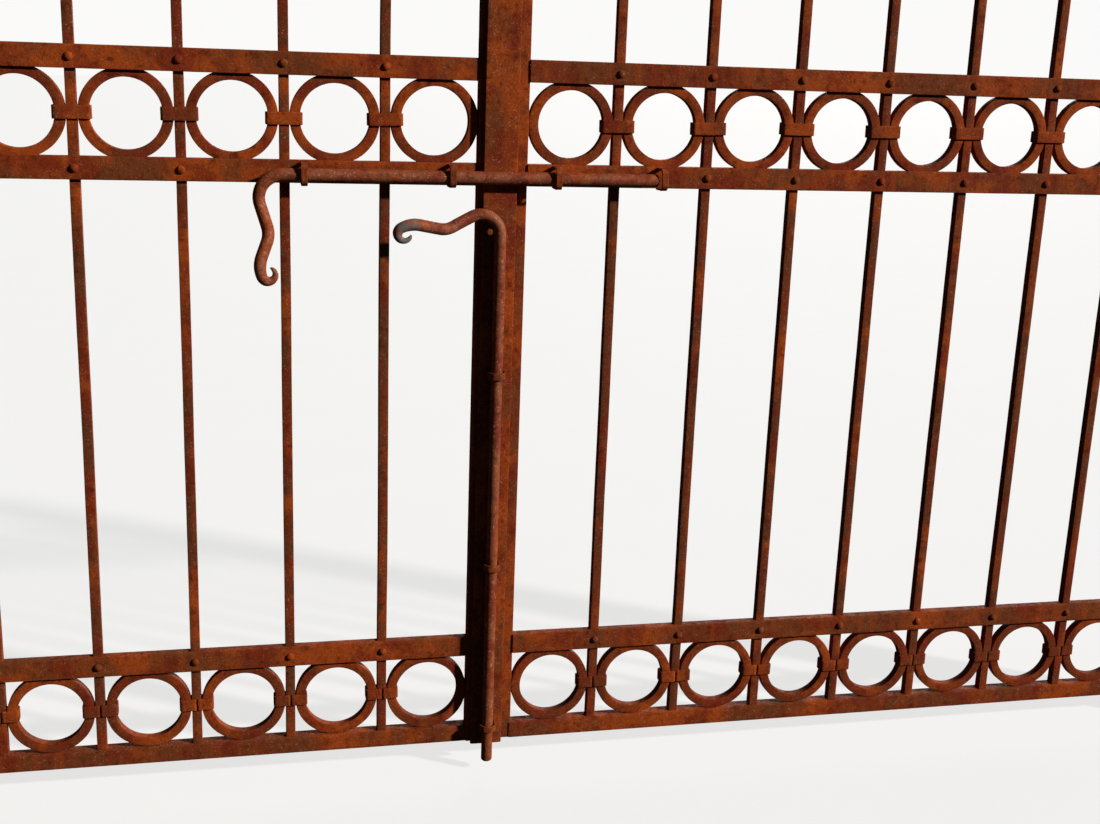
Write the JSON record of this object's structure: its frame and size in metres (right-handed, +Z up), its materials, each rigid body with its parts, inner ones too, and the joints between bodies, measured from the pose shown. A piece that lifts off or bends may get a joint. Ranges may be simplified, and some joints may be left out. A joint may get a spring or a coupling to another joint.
{
  "type": "driveway gate",
  "caption": "Pair of rusty wrought iron driveway gates between iron posts: square bars, bands of rings, a cover strip, a sliding bolt and a drop bolt.",
  "frame": {"origin": "the middle of the left post's foot, at ground level, with the pair of gates closed and bolted", "axes": "+X from the left post to the right post, +Y through the gates away from the side with the bolts, +Z up"},
  "size_m": [3.2762, 0.1414, 1.706],
  "materials": {
    "rusty_iron": "rusted, deep red-brown with orange patches, pitted and speckled",
    "fitting_iron": "rusted, brighter orange-brown round the bolts and hinges",
    "bolt_iron": "rusted, purplish grey-brown, rubbed smooth where it slides",
    "post_iron": "rusted, dark red-brown"
  },
  "bodies": {
    "posts": {"left_post": "post_iron", "right_post": "post_iron", "left_post_cap": "post_iron", "right_post_cap": "post_iron", "left_pintles": "fitting_iron", "right_pintles": "fitting_iron"},
    "left_leaf": {"left_hinge_eyes": "fitting_iron", "left_hinge_stile": "rusty_iron", "left_meeting_stile": "rusty_iron", "left_top_rail": "rusty_iron", "left_lock_rail": "rusty_iron", "left_lower_rail": "rusty_iron", "left_bottom_rail": "rusty_iron", "left_bars": "rusty_iron", "left_bar_points": "rusty_iron", "left_upper_rings": "rusty_iron", "left_lower_rings": "rusty_iron", "left_upper_collars": "rusty_iron", "left_lower_collars": "rusty_iron", "left_bolt_bands": "fitting_iron", "cover_strip": "fitting_iron", "drop_bolt_bands": "fitting_iron", "drop_bolt_peg": "fitting_iron"},
    "right_leaf": {"right_hinge_eyes": "fitting_iron", "right_hinge_stile": "rusty_iron", "right_meeting_stile": "rusty_iron", "right_top_rail": "rusty_iron", "right_lock_rail": "rusty_iron", "right_lower_rail": "rusty_iron", "right_bottom_rail": "rusty_iron", "right_bars": "rusty_iron", "right_bar_points": "rusty_iron", "right_upper_rings": "rusty_iron", "right_lower_rings": "rusty_iron", "right_upper_collars": "rusty_iron", "right_lower_collars": "rusty_iron", "right_bolt_bands": "fitting_iron"},
    "slide_bolt": {"slide_bolt_rod": "bolt_iron", "slide_bolt_handle": "bolt_iron"},
    "drop_bolt": {"drop_bolt_rod": "bolt_iron", "drop_bolt_handle": "bolt_iron"}
  },
  "joints": [
    {"name": "left_leaf_swing", "type": "hinge", "parent": "posts", "child": "left_leaf", "pos_m": [0.08, 0, 0.05], "axis": [0, 0, -1], "range_deg": [0, 90]},
    {"name": "right_leaf_swing", "type": "hinge", "parent": "posts", "child": "right_leaf", "pos_m": [3.0802, 0, 0.05], "axis": [0, 0, -1], "range_deg": [0, 90]},
    {"name": "slide_bolt_draw", "type": "slide", "parent": "left_leaf", "child": "slide_bolt", "axis": [-1, 0, 0], "range_m": [0, 0.22]},
    {"name": "drop_bolt_lift", "type": "slide", "parent": "left_leaf", "child": "drop_bolt", "axis": [0, 0, 1], "range_m": [0, 0.03]}
  ]
}
